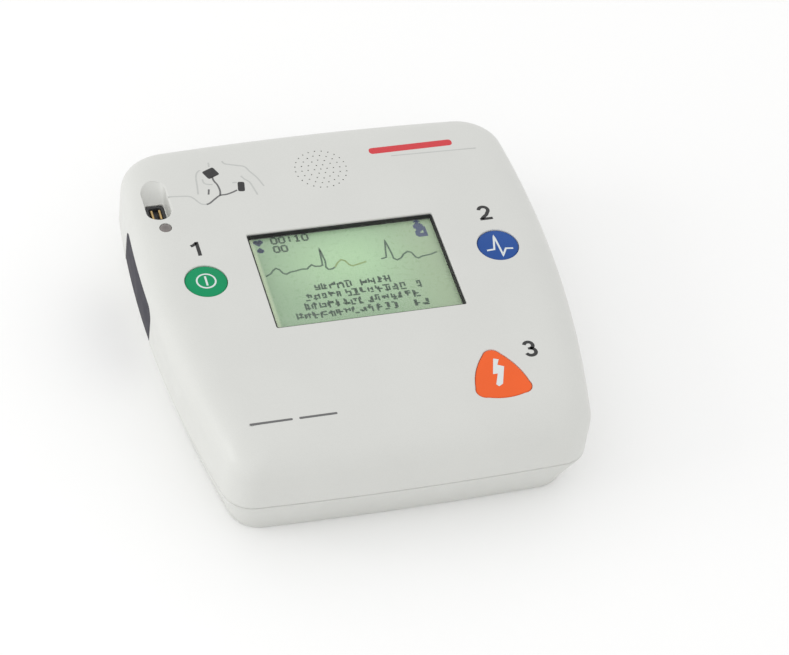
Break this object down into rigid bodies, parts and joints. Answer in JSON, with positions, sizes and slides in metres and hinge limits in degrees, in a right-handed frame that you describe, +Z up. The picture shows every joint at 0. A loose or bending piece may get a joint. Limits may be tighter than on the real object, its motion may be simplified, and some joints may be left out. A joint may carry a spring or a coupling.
{
  "type": "defibrillator",
  "caption": "Pocket automated external defibrillator: pale case, small display, power, analyse and shock buttons, electrode socket and slide-out battery.",
  "frame": {"origin": "middle of the flat underside, on the surface the device stands on", "axes": "+X to the shock button's side seen from the front, +Y towards the loudspeaker end, +Z up out of the display"},
  "size_m": [0.126, 0.134, 0.035],
  "materials": {
    "white_plastic": "fine satin moulded texture",
    "dark_rubber": "matt",
    "dark_plastic": "satin",
    "battery_plastic": "satin moulded texture",
    "clear_plastic": "clear gloss",
    "lcd_green": "green reflective display",
    "light_guide": "translucent",
    "power_green": "satin",
    "analyse_blue": "satin",
    "shock_orange": "satin",
    "lamp_smoke": "smoked gloss",
    "board_green": "solder mask",
    "steel": "bright plated",
    "gold_contact": "gold plated",
    "ferrite": "ground ceramic",
    "copper": "enamelled winding",
    "cell_sleeve": "printed sleeve",
    "capacitor_sleeve": "shrink sleeve",
    "chip_black": "moulded epoxy",
    "red_wire": "silicone insulation",
    "paper_cone": "coated paper",
    "resistor_body": "cemented ceramic"
  },
  "bodies": {
    "housing": {"upper_case": "white_plastic", "lower_case": "white_plastic", "case_seal": "dark_rubber", "case_screw_1": "steel", "case_screw_2": "steel", "case_screw_3": "steel", "case_screw_4": "steel", "display_bezel": "dark_rubber", "display_window": "clear_plastic", "lcd_panel": "lcd_green", "lcd_backlight": "light_guide", "power_switch": "chip_black", "analyse_switch": "chip_black", "shock_switch": "chip_black", "speaker_frame": "dark_plastic", "speaker_cone": "paper_cone", "speaker_magnet": "steel", "speaker_mesh": "dark_rubber", "electrode_socket": "dark_plastic", "socket_pin_1": "gold_contact", "socket_pin_2": "gold_contact", "status_lens": "lamp_smoke", "status_led": "light_guide", "main_board": "board_green", "processor": "chip_black", "memory_chip": "chip_black", "cell_holder": "dark_plastic", "backup_cell": "steel", "power_board": "board_green", "storage_capacitor": "capacitor_sleeve", "transformer_core": "ferrite", "transformer_winding": "copper", "patient_relay": "dark_plastic", "bridge_switch_1": "chip_black", "bridge_switch_2": "chip_black", "bridge_switch_3": "chip_black", "bridge_switch_4": "chip_black", "discharge_resistor": "resistor_body", "board_link": "dark_plastic", "shock_lead_1": "red_wire", "shock_lead_2": "red_wire", "battery_bay": "dark_plastic", "bay_contact_plus": "gold_contact", "bay_contact_minus": "gold_contact"},
    "battery_pack": {"battery_end_cap": "battery_plastic", "battery_tray": "battery_plastic", "battery_lid": "battery_plastic", "battery_cell_1": "cell_sleeve", "battery_cell_2": "cell_sleeve", "battery_cell_3": "cell_sleeve", "battery_cell_4": "cell_sleeve", "battery_contact_plus": "gold_contact", "battery_contact_minus": "gold_contact"},
    "power_key": {"power_button": "power_green", "power_plunger": "dark_plastic"},
    "analyse_key": {"analyse_button": "analyse_blue", "analyse_plunger": "dark_plastic"},
    "shock_key": {"shock_button": "shock_orange", "shock_plunger": "dark_plastic"}
  },
  "joints": [
    {"name": "battery_slide", "type": "slide", "parent": "housing", "child": "battery_pack", "axis": [-1, 0, 0], "range_m": [0, 0.062]},
    {"name": "power_press", "type": "slide", "parent": "housing", "child": "power_key", "axis": [0, 0, -1], "range_m": [0, 0.0007], "stiffness_N_per_m": 3000},
    {"name": "analyse_press", "type": "slide", "parent": "housing", "child": "analyse_key", "axis": [0, 0, -1], "range_m": [0, 0.0007], "stiffness_N_per_m": 3000},
    {"name": "shock_press", "type": "slide", "parent": "housing", "child": "shock_key", "axis": [0, 0, -1], "range_m": [0, 0.0007], "stiffness_N_per_m": 3000}
  ]
}
